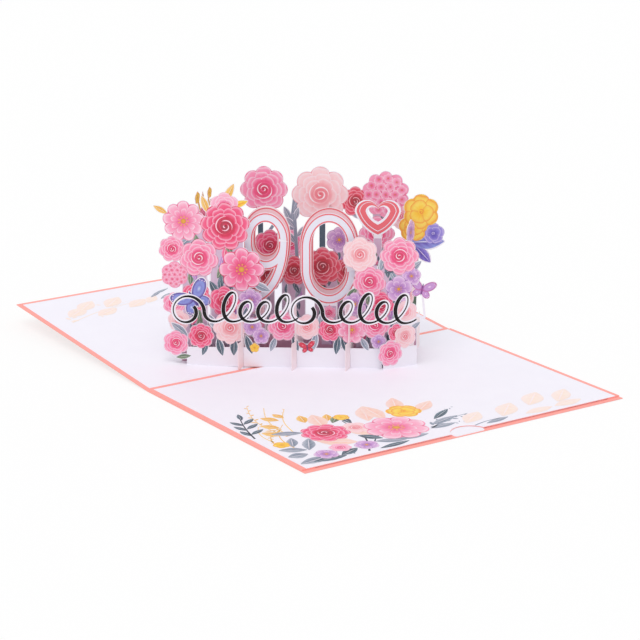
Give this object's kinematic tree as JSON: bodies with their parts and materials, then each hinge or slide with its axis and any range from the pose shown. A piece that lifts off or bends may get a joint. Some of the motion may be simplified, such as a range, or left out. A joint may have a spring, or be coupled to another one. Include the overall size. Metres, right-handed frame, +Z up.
{
  "type": "pop up card",
  "caption": "Open pop-up greeting card: a coral cover with a pocket, and a slotted paper lattice of cut-out flowers, large numerals and butterflies.",
  "frame": {"origin": "middle of the card's outline on the surface that it lies on", "axes": "+X along the fold to the right, +Y from the front panel to the back panel, +Z up"},
  "size_m": [0.2, 0.2996, 0.1049],
  "materials": {
    "coral_card": "matt coral card",
    "liner_paper": "smooth pale printed paper",
    "sheet_paper": "white paper, printed on its front",
    "blush_paper": "pale pink paper"
  },
  "bodies": {
    "root": {"cover_card": "coral_card", "pocket_panel": "coral_card", "back_liner": "liner_paper", "front_liner": "liner_paper", "note_card": "liner_paper", "front_wall": "sheet_paper", "left_bouquet": "sheet_paper", "right_bouquet": "sheet_paper", "numerals_front": "sheet_paper", "numerals_back": "blush_paper", "heart_plaque": "sheet_paper", "mid_flowers": "sheet_paper", "iris_spray": "sheet_paper", "back_wall": "sheet_paper", "flourish": "sheet_paper", "right_end_sheet": "sheet_paper", "purple_butterfly": "sheet_paper", "small_butterfly": "sheet_paper", "lilac_butterfly": "sheet_paper", "rib_1": "blush_paper", "rib_2": "blush_paper", "rib_3": "blush_paper", "rib_4": "blush_paper", "rib_5": "blush_paper"}
  },
  "joints": []
}
